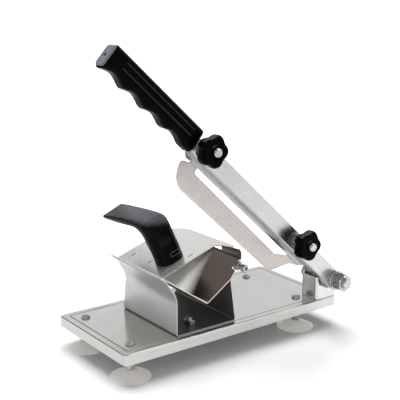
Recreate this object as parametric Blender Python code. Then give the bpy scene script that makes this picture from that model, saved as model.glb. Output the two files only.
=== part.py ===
"""Hand slicer for frozen meat: a steel tray on suction feet, a V trough, a sliding
presser and a long knife arm that swings down beside the trough.

Metres, +Z up. Every size is set out from the floor under the middle of the tray;
at the end the whole slicer is moved so that the origin is at the middle of its
outer box, on the floor. +X runs along the tray to the arm's pivot, and the knife
swings in a plane square to Y.
"""
import math

import bmesh
import bpy
from mathutils import Matrix, Vector

# Clearances
GAP = 0.0003
OVER = 0.004
MERGE = 0.000001
WHOLE_TURN = 2 * math.pi

# Tray
BASE_LEN = 0.3434
BASE_WID = 0.160
BASE_TOP = 0.0415
BASE_SHEET = 0.0012
SKIRT = 0.0136
TRAY_CORNER = 0.0060
TRAY_FILLET = 0.0022
BEAD_IN = 0.0088
BEAD_WIDE = 0.0020
BEAD_DEEP = 0.0005

# Screws and nuts: radii of the shanks, widths across the nuts' flats
M6 = 0.0030
M6_FLATS = 0.010
M8 = 0.0040
M8_FLATS = 0.013
M10 = 0.0050
M10_FLATS = 0.016
M14 = 0.0070
M14_FLATS = 0.0215
CHAMFER_SHARE = 0.10
FACE_SHARE = 0.95
TIP_SHARE = 0.15
RIM_SHARE = 0.20
HEAD_SHARES = ((0.50, 0.94), (0.80, 0.74), (0.97, 0.38), (1.00, 0.0))
THIN_NUT = 0.0040

# Feet: places are measured in from the tray's ends and sides
FOOT_LEFT_IN = 0.0242
FOOT_RIGHT_IN = 0.0511
FOOT_SIDE_IN = 0.0270
FOOT_HEAD = 0.0060
FOOT_HEAD_TALL = 0.0036
FOOT_NUT_TALL = 0.0075
CUP_RADIUS = 0.025
CUP_TALL = 0.0092
CUP_BOSS = 0.0080
CUP_WALL = 0.0012
CUP_MIDDLE = 0.0050
CUP_SOCKET = 0.0030
CUP_OUTSIDE_SHARES = ((0.42, 0.86), (0.62, 0.62), (0.80, 0.38), (0.93, 0.19), (1.0, 0.10))
CUP_INSIDE_SHARES = ((0.97, 0.16), (0.82, 0.50), (0.60, 0.80), (0.35, 0.95))

# Trough: two wings that meet at a rounded bottom; its front lies in from the tray's
TROUGH_SHEET = 0.0012
TROUGH_X = -0.0445
TROUGH_RISE = 0.033
LEFT_WING = 0.0839
LEFT_ANGLE = math.radians(34.8)
RIGHT_WING = 0.0787
RIGHT_ANGLE = math.radians(33.5)
TROUGH_BEND = 0.0035
TROUGH_IN = 0.0100
TROUGH_LONG = 0.1307
NOTCH_START = 0.0440
NOTCH_TIP = 0.0570
NOTCH_TIP_BACK = 0.0050
NOTCH_ROOT = 0.0600
NOTCH_ROOT_BACK = 0.0142
FLAP_LONG = 0.0405
FLAP_LOW = 0.0065
FLAP_HIGH = 0.0110
FLAP_ROUND = 0.0050
FLAP_SHARE = 0.75
TAB_DROP = 0.0135
TAB_WIDE = 0.0150

# Guide bolt in the trough's tab, measured in from the wing's end and down from it
GUIDE_IN = 0.0066
GUIDE_DROP = 0.0092
GUIDE_HEAD = 0.0050
GUIDE_HEAD_TALL = 0.0060
GUIDE_FRONT = 0.0175
GUIDE_BACK = 0.0140
GUIDE_NUT_TALL = 0.0050
GUIDE_SOCKET = 0.0025
GUIDE_SOCKET_DEEP = 0.0032

# Stand under the trough: its walls reach back from the trough's front
STAND_SHEET = 0.0012
STAND_LEFT = -0.0910
STAND_RIGHT = 0.0010
STAND_FLANGE = 0.0090
STAND_KNEE = 0.0500
STAND_LEAN = 0.0080
STAND_BEND = 0.0026
KNEE_BEND = 0.0300
FLANGE_BEND = 0.0120
LEFT_WALL_DEEP = 0.1210
LEFT_WALL_TOP_DEEP = 0.1100
RIGHT_WALL_DEEP = 0.1300
STAND_BOLT_X = -0.0560
STAND_BOLT_IN = 0.0220
STAND_BOLT_PITCH = 0.0960
STAND_NUT_TALL = 0.0065
STAND_BOLT_SPARE = 0.0035
BOLT_HEAD_TALL = 0.0042

# Pivot bracket, pivot bolt and what sits on it
BRACKET_RIGHT_IN = 0.0024
BRACKET_LONG = 0.0350
BRACKET_FRONT_IN = 0.0014
BRACKET_WIDE = 0.0306
BRACKET_SHEET = 0.0025
BRACKET_TALL = 0.0310
BRACKET_BEND = 0.0020
EAR_RADIUS = 0.0155
PIVOT_IN = 0.0177
PIVOT_RISE = 0.0305
FOOT_TAB = 0.0260
SPACER_RADIUS = 0.0145
SPACER_LONG = 0.0078
BIG_WASHER = 0.0138
BIG_WASHER_THICK = 0.0024
LOCK_RING = 0.0113
LOCK_RING_THICK = 0.0025
LOCK_RING_TURN = math.radians(352)
PIVOT_NUT_TALL = 0.0120
PIVOT_HEAD_TALL = 0.0075
PIVOT_BOLT_SPARE = 0.0045
BRACKET_BOLT_IN = 0.0157
BRACKET_BOLT_SIDE = 0.0075
BRACKET_BOLT_SPARE = 0.0025

# Arm: distances run along it from the pivot, y runs toward the front
ARM_ANGLE = math.radians(42.4)
ARM_DEEP = 0.0100
ARM_HIGH = 0.0108
ARM_LOW = 0.0123
ARM_SHEET = 0.0020
ARM_LEN = 0.3130
ARM_END_ROUND = 0.0070
ARM_FILLET = 0.0012
TAIL_SHARE = 0.9
TANG_WIDE = 0.0130
TANG_THICK = 0.0050
TANG_LONG = 0.1470

# Knife and its holder: IN sizes are measured back from the arm's end
HOLDER_THICK = 0.0020
HOLDER_START = 0.0540
HOLDER_SLANT = 0.0620
HOLDER_NECK = 0.0100
HOLDER_OUT = 0.0012
HOLDER_LOW = 0.0178
HOLDER_HIGH = 0.0095
HOLDER_ROUND = 0.0055
BLADE_THICK = 0.0020
BLADE_START = 0.0560
BLADE_TIP_IN = 0.0030
BLADE_TOP_IN = 0.0140
BLADE_EDGE = 0.0505
BLADE_HIGH = 0.0090
BLADE_NECK = 0.0120
BLADE_TANG = 0.1065
BLADE_SHOULDER = 0.0225
BLADE_SHOULDER_ROUND = 0.0030
BLADE_TIP_ROUND = 0.0240
HEEL_EDGE = 0.1015
HEEL_EDGE_ROUND = 0.0120
HEEL_NECK = 0.0790
HEEL_NECK_OFF = 0.0250
HEEL_NECK_ROUND = 0.0080
SLOT_TOP_IN = 0.0270
SLOT_LOW = 0.0890
SLOT_LOW_SPINE = 0.1080
SPINE_TOP = 0.0240
SPINE_BOTTOM = 0.0285
SPINE_ROUND = 0.0035
GRIND = 0.0090
BEVEL = 0.0030
BLADE_EDGE_THICK = 0.0005

# Clamps that hold the knife: bolt, nut, washer and star knob
CLAMP_LOW = 0.0962
CLAMP_HIGH_IN = 0.0105
CLAMP_OFF = 0.0008
CLAMP_HEAD_TALL = 0.0053
CLAMP_NUT_TALL = 0.0065
CLAMP_WASHER = 0.0120
CLAMP_WASHER_THICK = 0.0016
CLAMP_SPARE = 0.0038
KNOB_RADIUS = 0.0202
KNOB_WAIST = 0.0168
KNOB_TALL = 0.0142
KNOB_HUB = 0.0088
KNOB_HUB_TALL = 0.0016
KNOB_LOBES = 5
KNOB_HUB_SHARE = 0.88
KNOB_SIDE_SHARES = ((0.80, 0.0), (0.95, 0.10), (1.0, 0.28), (1.0, 0.68), (0.94, 0.88),
                    (0.82, 1.0))

# Handle past the arm's end
GRIP_OUT = 0.0055
GRIP_LONG = 0.1510
GRIP_HIGH = 0.0158
GRIP_LOW = 0.0148
GRIP_THICK = 0.0210
GRIP_HOLLOW = 0.0048
GRIP_FIRST_IN = 0.0120
GRIP_PITCH = 0.0345
GRIP_HOLLOWS = 4
GRIP_CORNER = 0.0060
GRIP_GROOVE = 0.0008
GRIP_GROOVE_DEEP = 0.0005
GRIP_GROOVE_IN = 0.0120
GRIP_GROOVE_LONG = 0.1210
GRIP_GROOVE_HIGH = 0.0076
GRIP_GROOVE_LOW = -0.0004
CAP_THICK = 0.0022
CAP_IN = 0.0019
CAP_HOLE = 0.0022

# Presser: plate in its own slanted frame, x up the slope, y back
PLATE_THICK = 0.0015
PRESSER_IN = 0.0700
PLATE_FOOT_X = -0.0659
PLATE_FLAP_GAP = 0.0008
PLATE_RIGHT = 0.1035
PLATE_EAR = 0.1050
PLATE_EAR_Y = -0.0365
PLATE_BACK = 0.1085
PLATE_CORNER = 0.0380
PLATE_ROUND = 0.0020
PLATE_LEFT_ROUND = 0.0040
TOOTH_LONG = 0.0080
TOOTH_DROP = 0.0035
TOOTH_LEFT = 0.0190
TOOTH_RIGHT = 0.0580
TOOTH_FIRST = 0.0130
TOOTH_PITCH = 0.0402
TOOTH_ROWS = 3
TOOTH_TIP_SHARE = 0.35
TOOTH_SUNK_SHARE = 0.80
SLOT_WIDE_SHARE = 1.2

# Presser handle: reach back and rise above the plate, width at the foot
STEM_LEFT = 0.0120
STEM_WIDE = 0.0410
PALM_REACH = 0.1410
PALM_RISE = 0.0635
STEM_SCREW = 0.0020
STEM_SCREW_PITCH = 0.0130
STEM_SCREW_DEEP = 0.0120
STEM_SCREW_HEAD = 0.0032
RECESS_HALF = 0.0074
RECESS_RADIUS = 0.0029
RECESS_DEEP = 0.0040
RECESS_RISE = 0.0132
RECESS_RIGHT = 0.0025

STEEL = (0.62, 0.62, 0.60)
BLACK = (0.012, 0.012, 0.014)


def clear_scene():
    for old in list(bpy.data.objects):
        bpy.data.objects.remove(old, do_unlink=True)


def material(name, colour, rough, metal):
    made = bpy.data.materials.new(name)
    made.use_nodes = True
    shader = made.node_tree.nodes["Principled BSDF"]
    shader.inputs["Base Color"].default_value = (*colour, 1.0)
    shader.inputs["Roughness"].default_value = rough
    shader.inputs["Metallic"].default_value = metal
    made.diffuse_color = (*colour, 1.0)
    return made


def steel(name):
    return material(name, STEEL, 0.25, 1.0)


def piece(name, bm, look, parent=None, smooth=None):
    """Turn a bmesh into a named object whose faces point out."""
    bmesh.ops.remove_doubles(bm, verts=bm.verts, dist=MERGE)
    bmesh.ops.recalc_face_normals(bm, faces=bm.faces)
    mesh = bpy.data.meshes.new(name)
    bm.to_mesh(mesh)
    bm.free()
    mesh.materials.append(look)
    if smooth:
        mesh.shade_smooth()
        mesh.set_sharp_from_angle(angle=smooth)
    made = bpy.data.objects.new(name, mesh)
    bpy.context.collection.objects.link(made)
    made.parent = parent
    return made


ROUND = math.radians(40)


def sweep(loops, closed=False):
    """Extrude a loop of points through the others; cap the ends or join them."""
    bm = bmesh.new()
    ring = [bm.verts.new(p) for p in loops[0]]
    edges = [bm.edges.new(pair) for pair in zip(ring, ring[1:] + ring[:1])]
    if not closed:
        bm.faces.new(ring)
    for loop in loops[1:] + (loops[:1] if closed else []):
        made = bmesh.ops.extrude_edge_only(bm, edges=edges)["geom"]
        fresh = {v for v in made if isinstance(v, bmesh.types.BMVert)}
        edges = [e for e in made if isinstance(e, bmesh.types.BMEdge)
                 and e.verts[0] in fresh and e.verts[1] in fresh]
        ring = [next(e.other_vert(v) for e in v.link_edges if e.other_vert(v) in fresh)
                for v in ring]
        for vert, point in zip(ring, loop):
            vert.co = point
    if not closed:
        bm.faces.new(ring)
    return bm


def prism(outline, place, near, far):
    """Solid between two copies of a flat outline; place maps (u, v, depth)."""
    return sweep([[place(u, v, w) for u, v in outline] for w in (near, far)])


def on_xz(u, v, w):
    return Vector((u, w, v))


def on_xy(u, v, w):
    return Vector((u, v, w))


def arc(centre, radius, start, end, steps):
    """Points of an arc, both ends included."""
    turn = (end - start) / steps
    return [(centre[0] + radius * math.cos(start + i * turn),
             centre[1] + radius * math.sin(start + i * turn)) for i in range(steps + 1)]


def corner_points(before, corner, after, radius, steps):
    """Fillet one corner of a path."""
    a = (Vector(before) - Vector(corner)).normalized()
    b = (Vector(after) - Vector(corner)).normalized()
    half = a.angle(b) / 2
    if radius <= 0 or abs(half - math.pi / 2) < MERGE:
        return [tuple(corner)]
    reach = radius / math.tan(half)
    middle = Vector(corner) + (a + b).normalized() * (radius / math.sin(half))
    start = Vector(corner) + a * reach - middle
    end = Vector(corner) + b * reach - middle
    first = math.atan2(start.y, start.x)
    turn = math.atan2(start.x * end.y - start.y * end.x, start.dot(end))
    return arc(middle, radius, first, first + turn, steps)


def rounded(corners, steps=5):
    """Closed outline from corners (u, v, radius)."""
    count = len(corners)
    points = []
    for i, (u, v, radius) in enumerate(corners):
        before, after = corners[i - 1], corners[(i + 1) % count]
        points += corner_points(before[:2], (u, v), after[:2], radius, steps)
    return points


def bent_path(corners, steps=5):
    """Open path from corners (u, v, radius), with its ends kept."""
    points = [tuple(corners[0][:2])]
    for before, here, after in zip(corners, corners[1:], corners[2:]):
        points += corner_points(before[:2], here[:2], after[:2], here[2], steps)
    return points + [tuple(corners[-1][:2])]


def side_lines(path, thick):
    """The two faces of a sheet whose middle follows the path."""
    left, right = [], []
    for i, point in enumerate(path):
        here = Vector(point)
        back = (here - Vector(path[i - 1])).normalized() if i else None
        ahead = (Vector(path[i + 1]) - here).normalized() if i + 1 < len(path) else None
        run = ((back or ahead) + (ahead or back)).normalized()
        wide = thick / 2 / max(run.dot(ahead or back), MERGE)
        normal = Vector((-run.y, run.x)) * wide
        left.append(here + normal)
        right.append(here - normal)
    return left, right


def sheet(path, thick, near, far, place):
    """Bent sheet; near and far give its two edges at each point of the path."""
    left, right = side_lines(path, thick)
    loops = []
    for i, (a, b) in enumerate(zip(left, right)):
        low, high = near(path[i], i), far(path[i], i)
        loops.append([place(a.x, a.y, low), place(b.x, b.y, low),
                      place(b.x, b.y, high), place(a.x, a.y, high)])
    return sweep(loops)


def turned(profile, steps, ring=False):
    """Turn a profile of (radius, height) about Z."""
    bm = bmesh.new()
    points = [bm.verts.new((r, 0, z)) for r, z in profile]
    joins = list(zip(points, points[1:] + points[:1])) if ring else list(zip(points, points[1:]))
    edges = [bm.edges.new(pair) for pair in joins]
    bmesh.ops.spin(bm, geom=points + edges, cent=(0, 0, 0), axis=(0, 0, 1),
                   angle=WHOLE_TURN, steps=steps, use_merge=True)
    return bm


def ring_points(radius, z, count):
    return [Vector((radius * math.cos(WHOLE_TURN * i / count),
                    radius * math.sin(WHOLE_TURN * i / count), z)) for i in range(count)]


def hex_points(flats, z, count):
    """A hexagon with count points, its corners among them."""
    points = []
    for i in range(count):
        angle = WHOLE_TURN * i / count
        off = (angle + math.pi / 6) % (math.pi / 3) - math.pi / 6
        off = math.pi / 6 - abs(off)
        radius = flats / 2 / math.cos(off)
        points.append(Vector((radius * math.cos(angle), radius * math.sin(angle), z)))
    return points


def hex_nut(flats, bore, tall, count=12):
    """Nut from z 0 up, with chamfered corners and a bore."""
    chamfer = flats / 2 * CHAMFER_SHARE
    loops = [ring_points(bore, 0, count), ring_points(flats / 2 * FACE_SHARE, 0, count),
             hex_points(flats, chamfer, count), hex_points(flats, tall - chamfer, count),
             ring_points(flats / 2 * FACE_SHARE, tall, count), ring_points(bore, tall, count)]
    return sweep(loops, closed=True)


def hex_bolt(flats, head, shank, length, count=12):
    """Bolt whose head lies from z 0 to -head and whose shank rises to length."""
    chamfer = flats / 2 * CHAMFER_SHARE
    tip = shank * TIP_SHARE
    loops = [ring_points(flats / 2 * FACE_SHARE, -head, count), hex_points(flats, chamfer - head, count),
             hex_points(flats, 0, count), ring_points(shank, 0, count),
             ring_points(shank, length - tip, count), ring_points(shank - tip, length, count)]
    return sweep(loops)


def round_screw(head, head_tall, shank, length, steps):
    """Round-head screw, head up from z 0, shank down to -length."""
    tip = shank * TIP_SHARE
    profile = [(0, head_tall)]
    profile += [(head * share, head_tall * rise) for share, rise in HEAD_SHARES]
    profile += [(shank, 0), (shank, tip - length), (shank - tip, -length), (0, -length)]
    return turned(profile, steps)


def washer(outer, bore, thick, steps):
    rim = thick * RIM_SHARE
    profile = [(bore, 0), (outer - rim, 0), (outer, rim), (outer, thick - rim),
               (outer - rim, thick), (bore, thick)]
    return turned(profile, steps, ring=True)


def cutter(name, bm, parent=None):
    made = piece(name, bm, material(name, BLACK, 0.5, 0.0), parent)
    made.hide_render = True
    made.display_type = "WIRE"
    return made


def combine(target, other, operation="DIFFERENCE"):
    change = target.modifiers.new(other.name, "BOOLEAN")
    change.operation = operation
    change.solver = "EXACT"
    change.object = other


def drill(target, places, radius, low, high, turn=None, parent=None, steps=16):
    """Cut round holes along Z, or along another axis when turn is given."""
    bm = bmesh.new()
    for place in places:
        made = bmesh.ops.create_cone(bm, cap_ends=True, segments=steps, radius1=radius,
                                     radius2=radius, depth=high - low)["verts"]
        bmesh.ops.translate(bm, verts=made, vec=(0, 0, (high + low) / 2))
        if turn:
            bmesh.ops.rotate(bm, verts=made, cent=(0, 0, 0), matrix=turn)
        bmesh.ops.translate(bm, verts=made, vec=place)
    combine(target, cutter("cut_" + target.name, bm, parent))


TO_FRONT = Matrix.Rotation(math.pi / 2, 3, "X")
ALONG_Y = Matrix.Rotation(-math.pi / 2, 3, "X")
CORNER_UP = Matrix.Rotation(math.pi / 6, 3, "Z")


def turn_all(bm, matrix):
    bmesh.ops.rotate(bm, verts=bm.verts, cent=(0, 0, 0), matrix=matrix)
    return bm


def empty(name, place, turn):
    made = bpy.data.objects.new(name, None)
    bpy.context.collection.objects.link(made)
    made.matrix_world = Matrix.Translation(place) @ turn.to_4x4()
    return made


# Places that follow the tray

def foot_place(side_x, side_y):
    """Centre of a foot; side_x and side_y are -1 or 1 for left or right, front or back."""
    inward = FOOT_LEFT_IN if side_x < 0 else FOOT_RIGHT_IN
    return side_x * (BASE_LEN / 2 - inward), side_y * (BASE_WID / 2 - FOOT_SIDE_IN)


def trough_front():
    return TROUGH_IN - BASE_WID / 2


def stand_bolt_places():
    front = trough_front() + STAND_BOLT_IN
    return [(STAND_BOLT_X, front, 0), (STAND_BOLT_X, front + STAND_BOLT_PITCH, 0)]


def bracket_left():
    return BASE_LEN / 2 - BRACKET_RIGHT_IN - BRACKET_LONG


def bracket_front():
    return BRACKET_FRONT_IN - BASE_WID / 2


def bracket_back():
    return bracket_front() + BRACKET_WIDE


def bracket_bolt_places():
    middle = (bracket_front() + bracket_back()) / 2
    x = bracket_left() + BRACKET_BOLT_IN
    return [(x, middle - BRACKET_BOLT_SIDE, 0), (x, middle + BRACKET_BOLT_SIDE, 0)]


def pivot_x():
    return bracket_left() + PIVOT_IN


def arm_back():
    """How far in front of the tray's middle line the arm's back face lies."""
    return SPACER_LONG + GAP * 2 - bracket_front()


# Tray

def tray_loop(inset, z):
    radius = max(TRAY_CORNER - inset, TRAY_CORNER / 4)
    x, y = BASE_LEN / 2 - inset, BASE_WID / 2 - inset
    corners = [(x, y, radius), (-x, y, radius), (-x, -y, radius), (x, -y, radius)]
    return [Vector((u, v, z)) for u, v in rounded(corners, 6)]


def build_tray():
    under = BASE_TOP - SKIRT
    loops = [tray_loop(BASE_SHEET, BASE_TOP - BASE_SHEET), tray_loop(BASE_SHEET, under),
             tray_loop(0, under)]
    for inward, height in arc((0, 0), TRAY_FILLET, math.pi, math.pi / 2, 4):
        loops.append(tray_loop(inward + TRAY_FILLET, BASE_TOP - TRAY_FILLET + height))
    loops += [tray_loop(BEAD_IN, BASE_TOP),
              tray_loop(BEAD_IN + BEAD_WIDE / 2, BASE_TOP - BEAD_DEEP),
              tray_loop(BEAD_IN + BEAD_WIDE, BASE_TOP)]
    tray = piece("base_tray", sweep(loops), steel("tray_steel"), smooth=ROUND)
    low, high = BASE_TOP - BASE_SHEET - OVER, BASE_TOP + OVER
    drill(tray, [(*foot_place(x, y), 0) for x in (-1, 1) for y in (-1, 1)], M6 + GAP, low, high)
    drill(tray, stand_bolt_places(), M8 + GAP, low, high)
    drill(tray, bracket_bolt_places(), M6 + GAP, low, high)


# Feet

def build_foot(tag, x, y):
    sheet_under = BASE_TOP - BASE_SHEET
    cup_top = CUP_TALL
    tip = cup_top - CUP_SOCKET + GAP
    screw = piece("foot_screw_" + tag,
                  round_screw(FOOT_HEAD, FOOT_HEAD_TALL, M6, BASE_TOP + GAP - tip, 14),
                  steel("foot_screw_steel_" + tag), smooth=ROUND)
    screw.location = (x, y, BASE_TOP + GAP)
    lock = piece("foot_lock_nut_" + tag, hex_nut(M6_FLATS, M6 + GAP, THIN_NUT),
                 steel("foot_lock_steel_" + tag))
    lock.location = (x, y, sheet_under - GAP - THIN_NUT)
    nut = piece("foot_nut_" + tag, hex_nut(M6_FLATS, M6 + GAP, FOOT_NUT_TALL),
                steel("foot_nut_steel_" + tag))
    nut.location = (x, y, cup_top + GAP)
    cup = piece("foot_cup_" + tag, cup_shape(),
                material("foot_cup_rubber_" + tag, (0.82, 0.80, 0.76), 0.35, 0.0), smooth=ROUND)
    cup.location = (x, y, 0)


def cup_shape():
    """Suction cup: a boss with a blind socket, a flared wall and a hollow below."""
    floor = CUP_TALL - CUP_SOCKET
    hollow = CUP_TALL - CUP_MIDDLE
    profile = [(0, floor), (M6 + GAP, floor), (M6 + GAP, CUP_TALL), (CUP_BOSS, CUP_TALL)]
    profile += [(CUP_RADIUS * r, CUP_TALL * h) for r, h in CUP_OUTSIDE_SHARES]
    profile += [(CUP_RADIUS, 0), (CUP_RADIUS - CUP_WALL, 0)]
    profile += [((CUP_RADIUS - CUP_WALL) * r, hollow * h) for r, h in CUP_INSIDE_SHARES]
    profile += [(0, hollow)]
    return turned(profile, 20)


# Trough and its stand

def wing_point(along, off=0.0):
    """Point on the trough's middle: along is negative on the left wing."""
    angle = math.pi - LEFT_ANGLE if along < 0 else RIGHT_ANGLE
    run = Vector((math.cos(angle), math.sin(angle)))
    up = Vector((-run.y, run.x)) if along >= 0 else Vector((run.y, -run.x))
    start = Vector((TROUGH_X, BASE_TOP + TROUGH_RISE))
    return start + run * abs(along) + up * off


def notch_front(point, index):
    """Front edge of the trough: straight, then cut back along the right wing."""
    along = (point[0] - TROUGH_X) / math.cos(RIGHT_ANGLE)
    steps = [(NOTCH_START, 0.0), (NOTCH_TIP, NOTCH_TIP_BACK), (NOTCH_ROOT, NOTCH_ROOT_BACK)]
    if along <= NOTCH_START:
        return trough_front()
    for (a, low), (b, high) in zip(steps, steps[1:]):
        if along <= b + MERGE:
            return trough_front() + low + (high - low) * (along - a) / (b - a)
    return tab_front()


def build_trough():
    left, right = wing_point(-LEFT_WING), wing_point(RIGHT_WING)
    bottom = wing_point(0.0)
    path = bent_path([tuple(left), (*bottom, TROUGH_BEND), tuple(right)], 6)
    marks = [tuple(wing_point(s)) for s in (NOTCH_START, NOTCH_TIP, NOTCH_ROOT)]
    path = path[:-1] + marks + path[-1:]
    back = trough_front() + TROUGH_LONG
    bm = sheet(path, TROUGH_SHEET, notch_front, lambda point, i: back, on_xz)
    trough = piece("trough", bm, steel("trough_steel"))
    add_flap(trough)
    add_tab(trough)


def add_flap(trough):
    """Upright flap along the right wing's top edge, its front corner rounded."""
    edge = wing_point(RIGHT_WING)
    root = edge.y - TROUGH_SHEET
    front, back = tab_front() + GAP, tab_front() + FLAP_LONG
    outline = rounded([(back, root, 0), (front, root, 0),
                       (front, edge.y + FLAP_HIGH, FLAP_ROUND), (back, edge.y + FLAP_LOW, 0)])
    near = edge.x - TROUGH_SHEET * FLAP_SHARE
    bm = prism(outline, lambda u, v, w: Vector((w, u, v)), near, near + TROUGH_SHEET)
    combine(trough, cutter("add_flap", bm), "UNION")


def add_tab(trough):
    """Tab folded down from the notch, drilled for the guide bolt."""
    front, back = tab_front() - GAP, tab_front() + TROUGH_SHEET
    start, end = RIGHT_WING - TAB_WIDE, RIGHT_WING - TROUGH_SHEET
    a, b = wing_point(start), wing_point(end)
    c = Vector((b.x, b.y - TAB_DROP))
    guide_x, guide_z = guide_place()
    low = min(c.y, guide_z - TAB_DROP / 2)
    outline = rounded([tuple(a) + (0,), tuple(b) + (0,), (c.x, low, TAB_DROP / 3),
                       (a.x, low, TAB_DROP / 4)])
    bm = prism(outline, on_xz, front, back)
    combine(trough, cutter("add_tab", bm), "UNION")
    drill(trough, [(guide_x, tab_front(), guide_z)], M6 + GAP, -OVER, OVER, turn=ALONG_Y)


def tab_front():
    return trough_front() + NOTCH_ROOT_BACK


def guide_place():
    """The guide bolt's x and z, in from the wing's top edge and below it."""
    edge = wing_point(RIGHT_WING)
    return edge.x - GUIDE_IN, edge.y - GUIDE_DROP


def build_guide():
    """Guide bolt screwed through the tab, with a socket head and a lock nut in front."""
    x, z = guide_place()
    under_head = tab_front() - GUIDE_FRONT + GUIDE_HEAD_TALL
    end = tab_front() + TROUGH_SHEET + GUIDE_BACK
    rim = GUIDE_HEAD * (1 - TIP_SHARE)
    front = under_head - GUIDE_HEAD_TALL
    profile = [(0, front + GUIDE_SOCKET_DEEP), (GUIDE_SOCKET, front + GUIDE_SOCKET_DEEP),
               (GUIDE_SOCKET, front), (rim, front), (GUIDE_HEAD, front + GUIDE_HEAD - rim),
               (GUIDE_HEAD, under_head), (M6, under_head), (M6, end), (0, end)]
    bolt = piece("guide_bolt", turn_all(turned(profile, 16), ALONG_Y), steel("guide_steel"),
                 smooth=ROUND)
    bolt.location = (x, 0, z)
    nut = piece("guide_nut", turn_all(hex_nut(M6_FLATS, M6 + GAP, GUIDE_NUT_TALL), ALONG_Y),
                steel("guide_nut_steel"))
    nut.location = (x, tab_front() - GAP * 2 - GUIDE_NUT_TALL, z)


def stand_path():
    """Middle of the stand's sheet, from the left flange round to the right wall."""
    below = -(TROUGH_SHEET / 2 + GAP + STAND_SHEET / 2)
    floor = BASE_TOP + GAP + STAND_SHEET / 2
    flange_end = wing_point(-LEFT_WING, below)
    flange_root = wing_point(STAND_FLANGE - LEFT_WING, below)
    left = STAND_LEFT + STAND_SHEET / 2
    right = STAND_RIGHT - STAND_SHEET / 2
    top = wing_point((right - STAND_LEAN - TROUGH_X) / math.cos(RIGHT_ANGLE))
    lean = Vector((-STAND_LEAN, top.y - floor)).normalized()
    spare = STAND_SHEET / 2 * (1 + math.tan(RIGHT_ANGLE)) + (TROUGH_SHEET / 2 + GAP) / \
        math.cos(RIGHT_ANGLE)
    end = top - lean * spare
    return bent_path([tuple(flange_end), (*flange_root, FLANGE_BEND),
                      (left, BASE_TOP + STAND_KNEE, KNEE_BEND), (left, floor, STAND_BEND),
                      (right, floor, STAND_BEND), tuple(end)], 5)


def stand_back(point, index):
    """Back edge of the stand: the left wall leans forward at its top."""
    rise = (point[1] - BASE_TOP) / (TROUGH_RISE + LEFT_WING * math.sin(LEFT_ANGLE))
    low, high = LEFT_WALL_DEEP, LEFT_WALL_TOP_DEEP
    if point[0] < STAND_LEFT + STAND_BEND * 2:
        return trough_front() + low - (low - high) * max(rise, 0)
    share = min((point[0] - STAND_LEFT) / (STAND_RIGHT - STAND_LEFT), 1)
    return trough_front() + low + (RIGHT_WALL_DEEP - low) * share


def build_stand():
    front = trough_front()
    bm = sheet(stand_path(), STAND_SHEET, lambda point, i: front, stand_back, on_xz)
    stand = piece("trough_stand", bm, steel("stand_steel"), smooth=ROUND)
    places = stand_bolt_places()
    drill(stand, places, M8 + GAP, BASE_TOP - OVER, BASE_TOP + OVER)
    floor_top = BASE_TOP + GAP + STAND_SHEET
    head_top = BASE_TOP - BASE_SHEET - GAP
    length = floor_top + GAP + STAND_NUT_TALL + STAND_BOLT_SPARE - head_top
    for tag, (x, y, _) in zip(("front", "back"), places):
        bolt = piece("stand_bolt_" + tag, hex_bolt(M8_FLATS, BOLT_HEAD_TALL, M8, length),
                     steel("stand_bolt_steel_" + tag))
        bolt.location = (x, y, head_top)
        nut = piece("stand_nut_" + tag, hex_nut(M8_FLATS, M8 + GAP, STAND_NUT_TALL),
                    steel("stand_nut_steel_" + tag))
        nut.location = (x, y, floor_top + GAP)


# Pivot bracket and pivot

def ear_top(point, index):
    """Height of the bracket's sheet: low on the left, an arch over the pivot."""
    off = point[0] - pivot_x()
    if abs(off) >= EAR_RADIUS:
        return BASE_TOP + BRACKET_TALL
    arch = PIVOT_RISE + math.sqrt(EAR_RADIUS ** 2 - off ** 2)
    return BASE_TOP + max(BRACKET_TALL, arch)


def build_bracket():
    half = BRACKET_SHEET / 2
    front, back = bracket_front() + half, bracket_back() - half
    left = bracket_left() + half
    right = bracket_left() + BRACKET_LONG
    bend = BRACKET_BEND + half
    arch = [pivot_x() + EAR_RADIUS * math.cos(math.pi * i / 12) for i in range(12)]
    arch = [x for x in arch if x > left + bend + GAP]
    path = [(right, front)] + [(x, front) for x in arch]
    path += corner_points((arch[-1], front), (left, front), (left, back), bend, 4)
    path += corner_points((left, front), (left, back), (arch[-1], back), bend, 4)
    path += [(x, back) for x in reversed(arch)] + [(right, back)]
    under = BASE_TOP + GAP
    bm = sheet(path, BRACKET_SHEET, lambda point, i: under, ear_top, on_xy)
    bracket = piece("pivot_bracket", bm, steel("bracket_steel"), smooth=ROUND)
    tab = prism([(left, front), (left + FOOT_TAB, front), (left + FOOT_TAB, back), (left, back)],
                on_xy, under, under + BRACKET_SHEET)
    combine(bracket, cutter("add_bracket_foot", tab), "UNION")
    middle = ((front + back) / 2)
    drill(bracket, [(pivot_x(), middle, BASE_TOP + PIVOT_RISE)], M14 + GAP,
          front - middle - OVER, back - middle + OVER, turn=ALONG_Y, steps=24)
    places = bracket_bolt_places()
    floor = cutter("cut_bracket_foot", drill_solid(places, M6 + GAP, under - OVER, under + OVER))
    combine(bracket, floor)
    head_top = BASE_TOP - BASE_SHEET - GAP
    nut_z = under + BRACKET_SHEET + GAP
    for tag, (x, y, _) in zip(("front", "back"), places):
        length = nut_z + THIN_NUT + BRACKET_BOLT_SPARE - head_top
        bolt = piece("bracket_bolt_" + tag, hex_bolt(M6_FLATS, THIN_NUT, M6, length),
                     steel("bracket_bolt_steel_" + tag))
        bolt.location = (x, y, head_top)
        nut = piece("bracket_nut_" + tag, hex_nut(M6_FLATS, M6 + GAP, THIN_NUT),
                    steel("bracket_nut_steel_" + tag))
        nut.location = (x, y, nut_z)


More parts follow.
